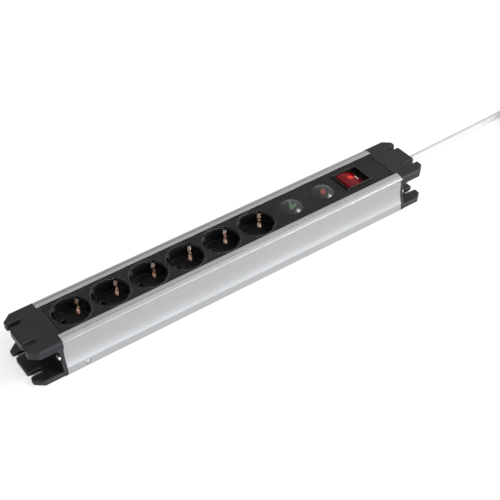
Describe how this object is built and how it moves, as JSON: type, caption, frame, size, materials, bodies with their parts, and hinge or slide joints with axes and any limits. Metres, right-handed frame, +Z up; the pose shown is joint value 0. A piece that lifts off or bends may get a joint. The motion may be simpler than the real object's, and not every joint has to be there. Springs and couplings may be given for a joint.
{
  "type": "desk power strip",
  "caption": "Aluminium power strip with a row of earthed sockets, two indicator lamps, a lit rocker switch, slotted end caps and a coiled mains cord with its plug.",
  "frame": {"origin": "bottom centre of the strip without its cord", "axes": "+X along the strip towards the cord's end, +Y across it, +Z up out of the sockets"},
  "size_m": [0.8203, 0.1163, 0.0496],
  "materials": {
    "anodised_aluminium": "satin anodised",
    "cap_plastic": "fine moulded grain",
    "module_plastic": "fine moulded grain",
    "contact_brass": "rolled strip",
    "clip_bronze": "rolled strip",
    "zinc_steel": "zinc plated",
    "pin_nickel": "nickel plated",
    "carrier_plastic": "moulded",
    "smoke_lens": "smoky clear, polished",
    "green_lamp": "translucent",
    "orange_lamp": "translucent",
    "neon_glass": "clear",
    "rocker_red": "translucent, polished",
    "board_laminate": "coated laminate",
    "varistor_coating": "dipped",
    "tube_ceramic": "glazed",
    "fuse_coating": "moulded",
    "capacitor_case": "moulded",
    "choke_ferrite": "sintered and wound",
    "cord_sheath": "smooth PVC",
    "plug_plastic": "moulded",
    "tie_fabric": "woven hook and loop",
    "wire_brown": "smooth PVC",
    "wire_blue": "smooth PVC",
    "wire_earth": "smooth PVC"
  },
  "bodies": {
    "strip": {"housing_extrusion": "anodised_aluminium", "left_end_cap": "cap_plastic", "right_end_cap": "cap_plastic", "cap_screws": "zinc_steel", "earth_screw": "zinc_steel", "rail_carrier": "carrier_plastic", "live_rail": "contact_brass", "neutral_rail": "contact_brass", "earth_rail": "clip_bronze", "socket_1": "module_plastic", "earth_clips_1": "clip_bronze", "socket_2": "module_plastic", "earth_clips_2": "clip_bronze", "socket_3": "module_plastic", "earth_clips_3": "clip_bronze", "socket_4": "module_plastic", "earth_clips_4": "clip_bronze", "socket_5": "module_plastic", "earth_clips_5": "clip_bronze", "socket_6": "module_plastic", "earth_clips_6": "clip_bronze", "surge_module": "module_plastic", "surge_lens": "smoke_lens", "surge_lamp": "green_lamp", "surge_tick": "green_lamp", "filter_module": "module_plastic", "filter_lens": "smoke_lens", "filter_lamp": "orange_lamp", "surge_board": "board_laminate", "varistors": "varistor_coating", "gas_discharge_tube": "tube_ceramic", "thermal_fuse": "fuse_coating", "filter_capacitor": "capacitor_case", "filter_choke": "choke_ferrite", "switch_module": "module_plastic", "switch_frame": "module_plastic", "switch_terminals": "contact_brass", "switch_lamp": "neon_glass", "cord_gland": "cap_plastic", "cord_sheath_end": "cord_sheath", "clamp_base": "carrier_plastic", "clamp_bridge": "carrier_plastic", "clamp_screws": "zinc_steel", "live_supply_wire": "wire_brown", "neutral_supply_wire": "wire_blue", "earth_wire": "wire_earth", "live_load_wire": "wire_brown", "neutral_load_wire": "wire_blue", "cord_run": "cord_sheath", "cord_coil": "cord_sheath", "cord_tie": "tie_fabric", "cord_tail": "cord_sheath", "plug_strain_relief": "plug_plastic", "plug_body": "plug_plastic", "plug_pins": "pin_nickel", "plug_earth_contacts": "clip_bronze"},
    "rocker": {"rocker": "rocker_red", "switch_plungers": "carrier_plastic"},
    "contact_levers": {"live_contact_lever": "contact_brass", "neutral_contact_lever": "contact_brass"}
  },
  "joints": [
    {"name": "rocker_tilt", "type": "hinge", "parent": "strip", "child": "rocker", "pos_m": [0.1629, 0, 0.04], "axis": [0, -1, 0], "range_deg": [0, 30]},
    {"name": "contact_swing", "type": "hinge", "parent": "strip", "child": "contact_levers", "pos_m": [0.1629, 0, 0.032], "axis": [0, -1, 0], "range_deg": [-15, 0]}
  ],
  "couplings": [
    {"joint": "contact_swing", "follows": "rocker_tilt", "ratio": -0.5}
  ]
}
